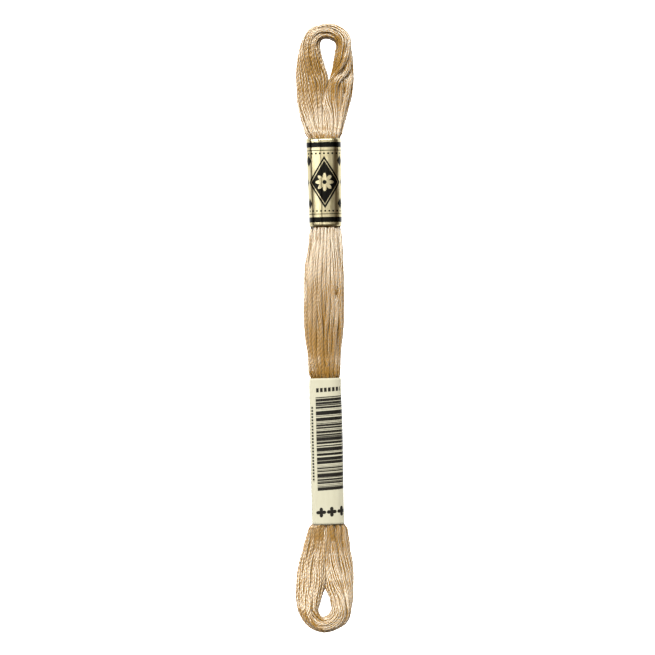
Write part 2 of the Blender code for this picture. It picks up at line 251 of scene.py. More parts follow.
class Sections:
    """The planes across the wound loop, in the order in which the floss passes them.

    Each has its origin at the eye's side, the direction across, its centre and half height, and
    the radii of its outline round that centre. The first is inside the long band."""

    def __init__(self):
        self.tree = solid_tree("floss_hank")
        self.columns = {name: [] for name in ("origin", "across", "centre", "half", "radii")}
        self.row = []
        self.rows = np.linspace(-TURN_START, TURN_START, 2 * round(TURN_START / ROW_STEP) + 1)
        spans = [self.leg_spans(y) for y in self.rows]
        parted = [i for i, (left, right) in enumerate(spans) if left[0] != right[0]]
        fork_below = max(i for i in parted if self.rows[i] < 0)
        fork_above = min(i for i in parted if self.rows[i] > 0)
        below, above = (sum(leg[0] for leg in spans[i]) / 2 for i in (fork_below, fork_above))
        self.closed_rows = range(fork_below + 1, fork_above)
        for i in self.closed_rows:
            share = (i - fork_below) / (fork_above - fork_below)
            middle = below + (above - below) * share
            spans[i] = tuple((middle, outer) for _, outer in spans[i])
        low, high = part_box("lower_band")
        first = int(np.searchsorted(self.rows, (low[1] + high[1]) / 2))
        for i in range(first, len(self.rows)):
            self.add_leg(i, 0, spans[i])
        self.add_fan(spans[-1], TURN_START, 180, 0)
        for i in reversed(range(len(self.rows))):
            self.add_leg(i, 1, spans[i])
        self.add_fan(spans[0], -TURN_START, 360, 180)
        for i in range(first):
            self.add_leg(i, 0, spans[i])
        self.origin, self.across, self.centre, self.half, self.radii = (
            np.array(column) for column in self.columns.values())
        self.count = len(self.half)
        self.closed = np.array([row is not None and row[0] in self.closed_rows for row in self.row])
        outward = np.clip(1 + np.cos(np.linspace(0, 2 * math.pi, OUTLINE_RAYS, endpoint=False)), 0, 1)
        self.radii += self.plump()[:, None] * np.where(self.closed[:, None], 1.0, outward[None, :])
        self.half += self.lifted()
        self.area = 0.5 * (self.radii ** 2).sum(1) * 2 * math.pi / OUTLINE_RAYS
        place = {row: j for j, row in enumerate(self.row) if row is not None}
        self.left, self.right = (np.array([place[(i, side)] for i in self.closed_rows])
                                 for side in (0, 1))

    def leg_spans(self, y):
        """(inner x, outer x) of the left and of the right leg at a row."""
        start = -20 * MM
        at = [start + d for d in crossings(self.tree, (start, y, MIDDLE_HEIGHT), (1, 0, 0))]
        inner = (at[1], at[2]) if len(at) >= 4 else (None, None)
        return (inner[0], at[0]), (inner[1], at[-1])

    def add_leg(self, i, side, spans):
        inner, outer = spans[side]
        across = (math.copysign(1, outer - inner), 0.0)
        whole = i in self.closed_rows
        middle = (spans[0][1] + spans[1][1]) / 2 if whole else (inner + outer) / 2
        self.add((inner, self.rows[i]), across, (middle, self.rows[i]), (i, side))

    def add_fan(self, spans, y, start, end):
        """The sections of a turn, round the middle of the eye where the turn begins."""
        x = (spans[0][0] + spans[1][0]) / 2
        for angle in np.radians(np.linspace(start, end, FAN_STEPS + 2)[1:-1]):
            across = (math.cos(angle), math.sin(angle))
            near, far = crossings(self.tree, (x, y, MIDDLE_HEIGHT), (*across, 0))[:2]
            inner = (x + across[0] * near, y + across[1] * near)
            middle = tuple(c + a * (near + far) / 2 for c, a in zip((x, y), across))
            self.add(inner, across, middle, None)

    def add(self, inner, across, middle, row):
        """One section. Its outline is what rays from its centre meet, smoothed over the ridges."""
        up = crossings(self.tree, (*middle, MIDDLE_HEIGHT), (0, 0, 1))[0]
        down = crossings(self.tree, (*middle, MIDDLE_HEIGHT), (0, 0, -1))[0]
        height = MIDDLE_HEIGHT + (up - down) / 2
        angles = np.linspace(0, 2 * math.pi, OUTLINE_RAYS, endpoint=False)
        radii = np.array([crossings(self.tree, (*middle, height), (
            across[0] * math.cos(angle), across[1] * math.cos(angle), math.sin(angle)))[0]
            for angle in angles])
        radii = np.max([np.roll(radii, shift) for shift in (-1, 0, 1)], axis=0)
        radii = (np.roll(radii, 1) + 2 * radii + np.roll(radii, -1)) / 4
        heights = radii * np.sin(angles)
        offset = float((np.array(middle) - np.array(inner)) @ np.array(across))
        values = (inner, across, (offset, height), (heights.max() - heights.min()) / 2, radii)
        for column, value in zip(self.columns.values(), values):
            column.append(value)
        self.row.append(row)

    def reach(self, angle):
        """The outline's radius at an angle in each section, for angles of (turns, sections)."""
        at = np.mod(angle / (2 * math.pi) * OUTLINE_RAYS, OUTLINE_RAYS)
        cell = at.astype(int) % OUTLINE_RAYS
        t = at - np.floor(at)
        j = np.arange(self.count)[None, :]
        return self.radii[j, cell] * (1 - t) + self.radii[j, (cell + 1) % OUTLINE_RAYS] * t

    def plump(self):
        """How far the strands stand outside the solid in each section, changing slowly."""
        looped = np.abs(self.origin[:, 1]) > PLUMP_FROM
        turning = np.array([row is None for row in self.row])
        wanted = np.where(turning, 0.0, np.where(looped, LOOP_PLUMP, PLUMP))
        return smoothed(wanted, PLUMP_REACH)

    def lifted(self):
        """How much higher than the solid the strands stand in each section."""
        return sum(lift.height * bump(self.origin[:, 1] - lift.y, lift.reach) for lift in LIFTS)

    def width(self):
        """How far each section's leg reaches across, from the eye or the other leg."""
        return np.where(self.closed, self.centre[:, 0] + self.radii[:, 0],
                        self.radii[:, 0] + self.radii[:, OUTLINE_RAYS // 2])

    def ends(self):
        """1 at the sections of the end loops, 0 at those between the bands."""
        y = np.abs(self.origin[:, 1])
        return np.clip((y - LOOP_FROM) / LOOP_EASE, 0, 1)


# --- Winding the floss ---


def packed_slots(random, count):
    """Places spread evenly in a unit disk, in an order that steps from neighbour to neighbour."""
    places = random.uniform(-SLOT_START, SLOT_START, (count, 2))
    spacing = 2 * math.sqrt(SLOT_FILL / count)
    for _ in range(SLOT_STEPS):
        apart = places[:, None] - places[None]
        distance = np.linalg.norm(apart, axis=2) + TINY
        push = np.clip(spacing - distance, 0, None) / distance
        np.fill_diagonal(push, 0)
        places = places + PUSH * (apart * push[..., None]).sum(1)
        radius = np.linalg.norm(places, axis=1)
        places *= np.minimum(1, (1 - spacing / 2) / np.maximum(radius, TINY))[:, None]
    order = [int(np.argmax(places[:, 0]))]
    while len(order) < count:
        left = [i for i in range(count) if i not in order]
        order.append(min(left, key=lambda i: np.linalg.norm(places[i] - places[order[-1]])))
    return places[order] / (1 - spacing / 2)


def push_apart(x, z, spacing):
    """How far each place in each section moves to stand a spacing from its neighbours."""
    dx, dz = x[:, :, None] - x[:, None, :], z[:, :, None] - z[:, None, :]
    distance = np.sqrt(dx ** 2 + dz ** 2) + TINY
    push = np.clip(spacing[:, None, None] - distance, 0, None) / distance
    push[:, np.arange(x.shape[1]), np.arange(x.shape[1])] = 0
    return PUSH * (dx * push).sum(2), PUSH * (dz * push).sum(2)


def first_places(sections, random):
    """Where the turns cross the sections before they push each other into place, and how much
    higher they lie there in the end."""
    count = sections.count
    slots = packed_slots(random, TURNS)
    j = np.arange(count)
    # Each turn passes on to the next one's place inside the long band, where it doesn't show.
    after = np.clip((j - (count - HIDDEN_SECTIONS)) / (2 * HIDDEN_SECTIONS), 0, 0.5)[None, :, None]
    before = np.clip((HIDDEN_SECTIONS - j) / (2 * HIDDEN_SECTIONS), 0, 0.5)[None, :, None]
    place = (slots[:, None] * (1 - after - before) + np.roll(slots, -1, axis=0)[:, None] * after
             + np.roll(slots, 1, axis=0)[:, None] * before)
    round_loop = 2 * math.pi * j / count
    twist = sum(t.angle * np.sin(t.waves * round_loop + t.phase) for t in TWISTS)
    u = place[..., 0] * np.cos(twist) - place[..., 1] * np.sin(twist)
    v = place[..., 0] * np.sin(twist) + place[..., 1] * np.cos(twist)
    noise = smooth_noise(random, TURNS * count, ROW_STEP, WANDER_LENGTH, 2).reshape(TURNS, count, 2)
    looped = bump(np.abs(sections.origin[:, 1]) - LOOP_WANDER_AT, LOOP_WANDER_REACH)
    noise *= (WANDER + (LOOP_WANDER - WANDER) * looped)[None, :, None] * WANDER_GAIN
    a = sections.width() / 2 * (1 + SPREAD * u + noise[..., 0])
    z = sections.centre[:, 1] + sections.half * (SPREAD * v + noise[..., 1])
    side = np.array([-1 if row is None else row[1] for row in sections.row])
    top = sections.centre[:, 1] + SPREAD * sections.half
    proud = np.zeros_like(z)
    for lock in LOCKS:
        # The other leg counts as a metre off, out of any lock's reach.
        away = np.abs(sections.origin[:, 1] - lock.y) + np.where(side == lock.side, 0, 1)
        at = np.argmin(away)
        turns = np.argsort(np.hypot(a[:, at] - lock.across, z[:, at] - top[at]))[:lock.count]
        near = bump(away, lock.reach)
        a[turns] += lock.shift * near
        z[turns] += (top - z[turns]) * near
        proud[turns] += lock.rise * near
    return a, z, proud


def wind(sections, random):
    """Where each turn crosses each section, as (across, height) arrays of (turns, sections)."""
    a, z, proud = first_places(sections, random)
    strands = np.where(sections.closed, 2 * TURNS, TURNS)
    # Strands packed in a triangular pattern take up the square of their spacing by this much each.
    packed = math.sqrt(0.75)
    spacing = np.sqrt(FILL * sections.area / (strands * packed))
    single = np.flatnonzero(~sections.closed)
    left, right = sections.left, sections.right
    middle = sections.origin[left, 0][:, None]
    width, half = sections.width()[None, :], sections.half[None, :]
    centre_a, centre_z = sections.centre[:, 0][None, :], sections.centre[:, 1][None, :]
    # Where the legs touch, each strand keeps to its own side, the more so the nearer the fork.
    ys = sections.origin[:, 1]
    from_fork = np.min([np.abs(ys - ys[j]) for j in (left[0], left[-1])], axis=0)
    own_side = np.where(sections.closed, spacing / 2 - FORK_SLANT * from_fork, -np.inf)[None, :]

    def keep_inside(a, z):
        a = np.maximum(a, own_side)
        da, dz = a - centre_a, z - centre_z
        room = np.maximum(sections.reach(np.arctan2(dz, da)) - spacing / 2, LEAST_ROOM)
        shrink = np.minimum(1, room / (np.hypot(da, dz) + TINY))
        return centre_a + da * shrink, centre_z + dz * shrink

    for step in range(RELAX_STEPS):
        move_a, move_z = push_apart(a[:, single].T, z[:, single].T, spacing[single])
        a[:, single] += move_a.T
        z[:, single] += move_z.T
        x = np.concatenate([middle - a[:, left].T, middle + a[:, right].T], axis=1)
        up = np.concatenate([z[:, left].T, z[:, right].T], axis=1)
        move_x, move_z = push_apart(x, up, spacing[left])
        a[:, left] -= move_x[:, :TURNS].T
        a[:, right] += move_x[:, TURNS:].T
        z[:, left] += move_z[:, :TURNS].T
        z[:, right] += move_z[:, TURNS:].T
        a, z = keep_inside(a, z)
        stiffness = STIFFNESS if step < RELAX_STEPS * LAST_FROM else LAST_STIFFNESS
        for values, scale in ((a, width), (z, half)):
            run = (values / scale).ravel()
            run[1:-1] += stiffness * ((run[:-2] + run[2:]) / 2 - run[1:-1])
            values[:] = run.reshape(values.shape) * scale
        a, z = keep_inside(a, z)
    return a, risen(sections, z, spacing) + proud, spacing


def risen(sections, z, spacing):
    """The heights spread so that the topmost strands reach the top of each section's outline."""
    level = sections.centre[:, 1]
    top = np.sort(z, axis=0)[-TOP_STRANDS:].mean(0) + spacing / 2 - level
    share = smoothed(sections.half / top, TOP_REACH)
    return level + np.where(z > level, share, 1.0) * (z - level)


def path_of(sections, a, z, spacing):
    """The wound floss as evenly spaced points, with the room that it has at each, how much it
    belongs to an end loop there, and how far along it each is."""
    x = sections.origin[:, 0] + sections.across[:, 0] * a
    y = sections.origin[:, 1] + sections.across[:, 1] * a
    points = np.stack([x, y, z], axis=-1).reshape(-1, 3)
    tangents = np.gradient(points, axis=0)
    steps = 7
    fine = []
    for t in np.arange(steps) / steps:
        fine.append((2 * t ** 3 - 3 * t ** 2 + 1) * points[:-1]
                    + (t ** 3 - 2 * t ** 2 + t) * tangents[:-1]
                    + (3 * t ** 2 - 2 * t ** 3) * points[1:]
                    + (t ** 3 - t ** 2) * tangents[1:])
    fine = np.stack(fine, axis=1).reshape(-1, 3)
    length = np.concatenate([[0], np.cumsum(np.linalg.norm(np.diff(fine, axis=0), axis=1))])
    at = np.linspace(0, length[-1], int(length[-1] / PATH_STEP) + 1)
    even = np.stack([np.interp(at, length, fine[:, axis]) for axis in range(3)], axis=1)

    def carried(values):
        whole = np.tile(values, TURNS)
        return np.interp(at, length[::steps], whole[:len(length[::steps])])

    return even, carried(spacing), carried(sections.ends()), at


def normalised(vectors):
    """The vectors scaled to a length of 1."""
    return vectors / np.linalg.norm(vectors, axis=-1, keepdims=True)


def frames_along(path):
    """Two unit vectors square to the path at each point, the first of them level."""
    tangent = normalised(np.gradient(path, axis=0))
    level = normalised(np.cross(tangent, (0.0, 0.0, 1.0)))
    return level, np.cross(level, tangent)


def lay_up(path, room, ends, at, random):
    """The threads laid round the path of the floss, each as its centre line and its radii."""
    level, up = frames_along(path)
    step = at[1] - at[0]
    loose = smooth_noise(random, len(at), step, LOOSE_LENGTH, THREADS) * THREAD_NOISE
    swing = smooth_noise(random, len(at), step, SWING_LENGTH, THREADS) * THREAD_NOISE
    room = room * (MIDDLE_ROOM + (LOOP_ROOM - MIDDLE_ROOM) * ends)
    radius = THREAD_SHARE * room
    reach = room / 2 - THREAD_INSET * radius
    threads = []
    for i in range(THREADS):
        angle = 2 * math.pi * (i / THREADS + at / LAY) + (SWING + LOOP_SWING * ends) * swing[:, i]
        share = AWAY + LOOP_AWAY * ends + LOOSE * loose[:, i]
        away = reach * np.clip(share, LEAST_AWAY, MOST_AWAY)
        offset = level * (away * np.cos(angle))[:, None] + up * (away * np.sin(angle))[:, None]
        line = path + offset
        line[:, 2] = np.maximum(line[:, 2], radius * PLY_ROUND.max())
        threads.append((line, radius))
    return threads


class Seen:
    """Which points of a thread can be seen: those near the outline and clear of the bands."""

    def __init__(self, tree):
        self.tree = tree
        self.bands = [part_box(name) for name in ("upper_band", "lower_band")]

    def __call__(self, line):
        depth = np.array([self.tree.find_nearest(Vector(point))[3] for point in line])
        seen = depth < SEEN_DEPTH
        for low, high in self.bands:
            seen &= (line[:, 1] < low[1] + MM) | (line[:, 1] > high[1] - MM)
        return seen


def thread_mesh(name, line, radius, seen, start):
    """A two-ply thread along a line, finely stepped where it is seen. Its UV map holds the
    millimetres along it and the turns round it, which follow the plies."""
    keep = np.arange(len(line)) % HIDDEN_STRIDE == 0
    keep |= seen
    keep[1:] |= seen[:-1]
    keep[:-1] |= seen[1:]
    keep[-1] = True
    step = np.linalg.norm(np.diff(line, axis=0), axis=1)
    turn = np.concatenate([[0], np.cumsum(np.where(keep[1:] & keep[:-1], step, 0))]) / PLY_PITCH
    length = np.concatenate([[0], np.cumsum(step)]) / MM
    level, up = frames_along(line)
    line, radius, turn, length = line[keep], radius[keep], turn[keep], length[keep]
    angles = PLY_ANGLES[None, :] - 2 * math.pi * (turn + start)[:, None]
    ring = (level[keep][:, None] * np.cos(angles)[..., None]
            + up[keep][:, None] * np.sin(angles)[..., None])
    points = line[:, None] + ring * (radius[:, None] * PLY_ROUND)[..., None]
    sides = len(PLY_ANGLES)
    turns_round = np.arange(sides + 1) / sides
    return grid_object(name, points, length, turns_round, "Thread")


def grid_object(name, points, along, around, layer_name, inner=None):
    """A closed mesh of rings of points: a tube with flat ends or, with inner rings, a sleeve."""
    rings, sides = points.shape[:2]
    k = np.arange(sides)
    after = (k + 1) % sides
    i = np.arange(rings - 1)[:, None] * sides
    quads = [np.stack([i + k, i + after, i + sides + after, i + sides + k], axis=-1).reshape(-1, 4)]
    uv = np.zeros((rings - 1, sides, 4, 2))
    uv[:, :, :2, 0], uv[:, :, 2:, 0] = along[:-1, None, None], along[1:, None, None]
    uv[:, :, [0, 3], 1], uv[:, :, [1, 2], 1] = around[:-1, None], around[1:, None]
    maps = [uv.reshape(-1, 2)]
    places = points.reshape(-1, 3)
    ends = []
    if inner is None:
        ends = [k[::-1], (rings - 1) * sides + k]
        maps.append(np.zeros((2 * sides, 2)))
    else:
        shift = rings * sides
        places = np.concatenate([places, inner.reshape(-1, 3)])
        quads.append(quads[0][:, ::-1] + shift)
        maps.append(uv[:, :, ::-1].reshape(-1, 2))
        last = (rings - 1) * sides
        quads.append(np.stack([k + shift, after + shift, after, k], axis=-1))
        quads.append(np.stack([last + k, last + after, last + after + shift, last + k + shift], axis=-1))
        for ring in (0, -1):
            rim = np.zeros((sides, 4, 2))
            rim[..., 0] = along[ring]
            rim[:, [0, 3], 1], rim[:, [1, 2], 1] = around[:-1, None], around[1:, None]
            maps.append(rim.reshape(-1, 2))
    quads = np.concatenate(quads)
    mesh = bpy.data.meshes.new(name)
    mesh.vertices.add(len(places))
    mesh.vertices.foreach_set("co", places.reshape(-1))
    corners = np.concatenate([quads.reshape(-1), *ends]).astype(np.int32)
    mesh.loops.add(len(corners))
    mesh.loops.foreach_set("vertex_index", corners)
    starts = np.arange(len(quads)) * 4
    if ends:
        starts = np.concatenate([starts, [len(quads) * 4, len(quads) * 4 + sides]])
    mesh.polygons.add(len(starts))
    mesh.polygons.foreach_set("loop_start", starts.astype(np.int32))
    layer = mesh.uv_layers.new(name=layer_name)
    layer.data.foreach_set("uv", np.concatenate(maps).reshape(-1).astype(np.float32))
    mesh.update(calc_edges=True)
    mesh.shade_smooth()
    added = bpy.data.objects.new(name, mesh)
    bpy.context.scene.collection.objects.link(added)
    return added


# --- Shading ---


class Field:
    """A shader value. Arithmetic on it adds math nodes to its tree.

    The larger of two is |, and the smaller is &. Of signed distances, & joins two shapes and | is
    their overlap. Of shares of ink it is the other way round."""

    def __init__(self, socket):
        self.socket = socket
        self.tree = socket.id_data

    def math(self, operation, *others, clamp=False):
        made = self.tree.nodes.new("ShaderNodeMath")
        made.operation = operation
        made.use_clamp = clamp
        for slot, value in zip(made.inputs, (self, *others)):
            if isinstance(value, Field):
                self.tree.links.new(value.socket, slot)
            else:
                slot.default_value = value
        return Field(made.outputs[0])

    def __add__(self, other):
        return self.math("ADD", other)

    def __sub__(self, other):
        return self.math("SUBTRACT", other)

    def __mul__(self, other):
        return self.math("MULTIPLY", other)

    def __abs__(self):
        return self.math("ABSOLUTE")

    def __or__(self, other):
        return self.math("MAXIMUM", other)

    def __and__(self, other):
        return self.math("MINIMUM", other)

    def opposite(self):
        return self * -1 + 1

    def repeated(self, period):
        """The distance from the middle of the nearest repeat."""
        return (self + period / 2).math("FLOORED_MODULO", period) - period / 2

    def inside(self, softness):
        """1 where this signed distance is negative, 0 where it is positive, with a soft edge."""
        return (self * (-1 / softness) + 0.5).math("ADD", 0.0, clamp=True)


def length_of(across, along):
    return (across * across + along * along).math("SQRT")


def lozenge(across, along, width, height):
    """The signed distance from a lozenge of that half width and half height."""
    return (abs(across) * (1 / width) + abs(along) * (1 / height) - 1) * min(width, height)


def panel(across, along, width, height):
    """The signed distance from an upright rectangle of that half width and half height."""
    return (abs(across) - width) | (abs(along) - height)


class Finish:
    """A material under way: its tree, its shader, and its UV map as two fields."""

    def __init__(self, name, layer_name):
        self.material = bpy.data.materials.new(name)
        self.material.use_nodes = True
        self.tree = self.material.node_tree
        self.shader = self.tree.nodes["Principled BSDF"]
        if layer_name:
            uv = self.tree.nodes.new("ShaderNodeUVMap")
            uv.uv_map = layer_name
            split = self.tree.nodes.new("ShaderNodeSeparateXYZ")
            self.tree.links.new(uv.outputs[0], split.inputs[0])
            self.first, self.second = Field(split.outputs[0]), Field(split.outputs[1])

    def set(self, **values):
        for name, value in values.items():
            self.shader.inputs[name.replace("_", " ")].default_value = value

    def link(self, name, value):
        self.tree.links.new(value.socket, self.shader.inputs[name])

    def noise(self, first_scale, second_scale, detail=2.0):
        """Noise on the UV map, with its own scale each way, about 0.5."""
        place = self.tree.nodes.new("ShaderNodeCombineXYZ")
        self.tree.links.new((self.first * first_scale).socket, place.inputs[0])
        self.tree.links.new((self.second * second_scale).socket, place.inputs[1])
        made = self.tree.nodes.new("ShaderNodeTexNoise")
        made.inputs["Scale"].default_value = 1.0
        made.inputs["Detail"].default_value = detail
        self.tree.links.new(place.outputs[0], made.inputs["Vector"])
        return Field(made.outputs[0])

    def mix(self, share, here, there):
        """The colour here where the share is 0, and the colour there where it is 1."""
        made = self.tree.nodes.new("ShaderNodeMix")
        made.data_type = "RGBA"
        self.tree.links.new(share.socket, made.inputs[0])
        for slot, value in ((made.inputs[6], here), (made.inputs[7], there)):
            if isinstance(value, Field):
                self.tree.links.new(value.socket, slot)
            else:
                slot.default_value = (*value, 1)
        return Field(made.outputs[2])

    def grain(self, layer_name):
        """Highlights are stretched along the first direction of this UV map."""
        tangent = self.tree.nodes.new("ShaderNodeTangent")
        tangent.direction_type = "UV_MAP"
        tangent.uv_map = layer_name
        self.tree.links.new(tangent.outputs[0], self.shader.inputs["Tangent"])

    def noise_along(self, place):
        """Noise along a line, about 0.5."""
        made = self.tree.nodes.new("ShaderNodeTexNoise")
        made.noise_dimensions = "1D"
        made.inputs["Scale"].default_value = 1.0
        made.inputs["Detail"].default_value = 0.0
        self.tree.links.new(place.socket, made.inputs["W"])
        return Field(made.outputs[0])

    def relief(self, height, distance):
        """Fine relief: the height, from 0 to 1, stands out by up to the distance."""
        made = self.tree.nodes.new("ShaderNodeBump")
        made.inputs["Distance"].default_value = distance
        made.inputs["Strength"].default_value = 1.0
        self.tree.links.new(height.socket, made.inputs["Height"])
        self.tree.links.new(made.outputs[0], self.shader.inputs["Normal"])


# The thread's own colour, and a deeper one that gives the painted shade in the grooves and the darker
# tone of fibres and patches
FLOSS_LIGHT = (0.36, 0.19, 0.030)
FLOSS_DEEP_AND_SHADED = (0.17, 0.076, 0.008)
# How much the painted shade in the grooves between the plies, and the fibres' and slow patches' own
# tone, deepen the colour, and what is taken off
GROOVE_PAINTED_SHADE = 1.05
FIBRE_SHADE = 0.40
PATCH_SHADE = 0.50
SHADE_LESS = 0.42
# The scales of the fibres and patches, to a millimetre along the thread and a turn round it
FIBRE_SCALE = (0.9, 26.0)
PATCH_SCALE = (0.035, 0.0)
FIBRE_RELIEF = 0.012 * MM
FLOSS_ROUGHNESS, FIBRE_ROUGHNESS = 0.32, 0.14


def floss_finish():
    """Silky two-ply thread: painted shade darkens the grooves between the plies, with fine fibres along
    it.
    """
    groove_reach, groove_slope = 0.30, 5
    finish = Finish("silky_floss", "Thread")
    finish.set(IOR=2.6, Specular_Tint=(0.88, 1.0, 0.98, 1), Anisotropic=1.0, Anisotropic_Rotation=0.25,
               Sheen_Weight=0.5, Sheen_Roughness=0.3, Sheen_Tint=(1.0, 0.78, 0.45, 1))
    finish.grain("Thread")
    # Painted shade: the colour is darkened in the grooves between the plies, where shade falls
    from_groove = abs((finish.second * 2 - 0.5).repeated(1.0))
    painted_groove_shade = (from_groove * -1 + groove_reach).math("MULTIPLY", groove_slope, clamp=True)
    fibres = finish.noise(*FIBRE_SCALE)
    patches = finish.noise(*PATCH_SCALE)
    # The share of the deeper colour: the grooves' painted shade plus the fibres' and patches' own tone
    groove_shade_and_tone = painted_groove_shade * GROOVE_PAINTED_SHADE + fibres * FIBRE_SHADE + patches * PATCH_SHADE - SHADE_LESS
    groove_shade_and_tone = groove_shade_and_tone.math("ADD", 0.0, clamp=True)
    finish.link("Base Color", finish.mix(groove_shade_and_tone, FLOSS_LIGHT, FLOSS_DEEP_AND_SHADED))
    finish.link("Roughness", fibres * FIBRE_ROUGHNESS + FLOSS_ROUGHNESS)
    finish.relief(fibres, FIBRE_RELIEF)
    return finish.material


def make_floss():
    random = np.random.default_rng(SEED)
    sections = Sections()
    a, z, spacing = wind(sections, random)
    path, room, ends, at = path_of(sections, a, z, spacing)
    seen = Seen(sections.tree)
    finish = floss_finish()
    triangles = 0
    for i, (line, radius) in enumerate(lay_up(path, room, ends, at, random)):
        thread = thread_mesh(f"floss_thread_{i + 1}", line, radius, seen(line), random.random())
        triangles += 2 * len(thread.data.polygons)
        thread.data.materials.append(finish)
        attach(thread, "root")
        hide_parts("floss_hank")
    print(f"{at[-1]:.3f} m of floss in {TURNS} turns, {triangles} triangles")


# --- The paper bands ---


class Sleeve:
    """A band as read from the frame: rings of points on its outside, from its lower end up, and
    the millimetres that each column lies round from the front and each ring along from the middle."""

    def __init__(self, node):
        vertices = np.array([v.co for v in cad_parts[node].data.vertices])
        tree = solid_tree(node)
        ends = []
        for end in (vertices[:, 1].min(), vertices[:, 1].max()):
            near = vertices[np.abs(vertices[:, 1] - end) < SLEEVE_END]
            ends.append(np.array([(near[:, 0].min() + near[:, 0].max()) / 2, near[:, 1].mean()]))
        axis = (ends[1] - ends[0]) / np.linalg.norm(ends[1] - ends[0])
        length = np.linalg.norm(ends[1] - ends[0])
        across = np.array([axis[1], -axis[0]])
        self.angles = math.pi / 2 - np.linspace(-math.pi, math.pi, SLEEVE_RAYS, endpoint=False)
        rings = []
        places = np.linspace(0, length, round(length / SLEEVE_STEP) + 1)
        for place in places:
            inset = np.clip(place, SLEEVE_INSET, length - SLEEVE_INSET)
            middle = ends[0] + axis * inset
            directions = [(*(across * math.cos(angle)), math.sin(angle)) for angle in self.angles]
            far = np.array([crossings(tree, (*middle, SLEEVE_HEIGHT), direction)[-1]
                            for direction in directions])
            for _ in range(FACET_SMOOTHING):
                far = smoothed(far, FACET_REACH)
            ring = np.array([*middle, SLEEVE_HEIGHT]) + np.array(directions) * far[:, None]
            rings.append(ring + np.array([*(axis * (place - inset)), 0]))
        self.points = np.array(rings)
        self.normals = np.array([[*(across * math.cos(a)), math.sin(a)] for a in self.angles])
        middle_ring = self.points[len(places) // 2]
        closed = np.concatenate([middle_ring, middle_ring[:1]])
        run = np.concatenate([[0], np.cumsum(np.linalg.norm(np.diff(closed, axis=0), axis=1))])
        self.around = (run - run[SLEEVE_RAYS // 2]) / MM
        self.along = (places - length / 2) / MM


# A ridge pressed into the paper, in millimetres: how far round it is, its height and its width
Crease = namedtuple("Crease", "around depth width")


def band_object(name, node, creases, random):
    """A band's paper: thin, dented by the strands under it, creased, and uneven at its ends."""
    sleeve = Sleeve(node)
    u, v = sleeve.around[:-1][None, :], sleeve.along[:, None]
    columns, rows = len(sleeve.around) - 1, len(sleeve.along)
    drift, depth, wide, narrow = smooth_noise(random, rows, SLEEVE_STEP, BUCKLE_LENGTH, 4).T[..., None]
    dents = np.sin(2 * math.pi * (u / DENT_PITCH + DENT_DRIFT * drift))
    outward = DENT * dents * (DENT_LEAST + DENT_MORE * depth)
    outward = outward + WIDE_BUCKLE.depth * wide * np.cos(u / WIDE_BUCKLE.width)
    outward = outward + NARROW_BUCKLE.depth * narrow * np.sin(u / NARROW_BUCKLE.width)
    for crease in creases:
        outward = outward + crease.depth * np.exp(-((u - crease.around) / crease.width) ** 2)
    tip = np.exp(-(v.max() - np.abs(v)) / FLARE_REACH)
    wave = smooth_noise(random, 2 * columns, FLARE_STEP, FLARE_WAVELENGTH, 1)[:columns, 0][None, :]
    outward = outward + tip * (FLARE + FLARE_WAVE * wave)
    lying = np.clip((sleeve.points[..., 2] / MM - FLAT_BELOW) / FLAT_EASE, 0, 1)
    outside = sleeve.points + sleeve.normals[None] * (outward * lying * MM)[..., None]
    inside = outside - sleeve.normals[None] * PAPER
    inside[..., 2] = np.maximum(inside[..., 2], outside[..., 2].min() + INNER_LIFT)
    paper = grid_object(name, outside, sleeve.along, sleeve.around, "Print", inner=inside)
    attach(paper, "root")
    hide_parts(node)
    return paper


GOLD = (0.365, 0.327, 0.225)
GOLD_SHADE = (0.29, 0.255, 0.13)
BLACK_INK = (0.006, 0.006, 0.005)
CREAM = (0.42, 0.41, 0.315)
CREAM_SHADE = (0.385, 0.37, 0.27)
LABEL_INK = (0.008, 0.007, 0.005)
GOLD_ROUGHNESS, GOLD_WEAR = 0.28, 0.10
LABEL_ROUGHNESS, LABEL_WEAR = 0.42, 0.15
PAPER_RELIEF = 0.02 * MM
# The softness of the print's edges and, in the gold print, how far round it repeats and how far
# from the band's middle its stripes, lines, beads and small lozenges are. All are in millimetres.
PRINT_EDGE = 0.07
GOLD_REPEAT = 8.7
BEADS_A_REPEAT = 8
STRIPE_AT = 9.85
LINE_AT = 8.35
BEADS_AT = 7.55
SMALL_AT = 5.6


def flower_of(across, along, petals, petal, heart):
    """The distance from a flower's middle, and the signed distance from its outline. The petals
    reach so far beyond the heart."""
    radius = length_of(across, along)
    turn = along.math("ARCTAN2", across)
    return radius, radius - (abs((turn * (petals / 2)).math("COSINE")) * petal + heart)


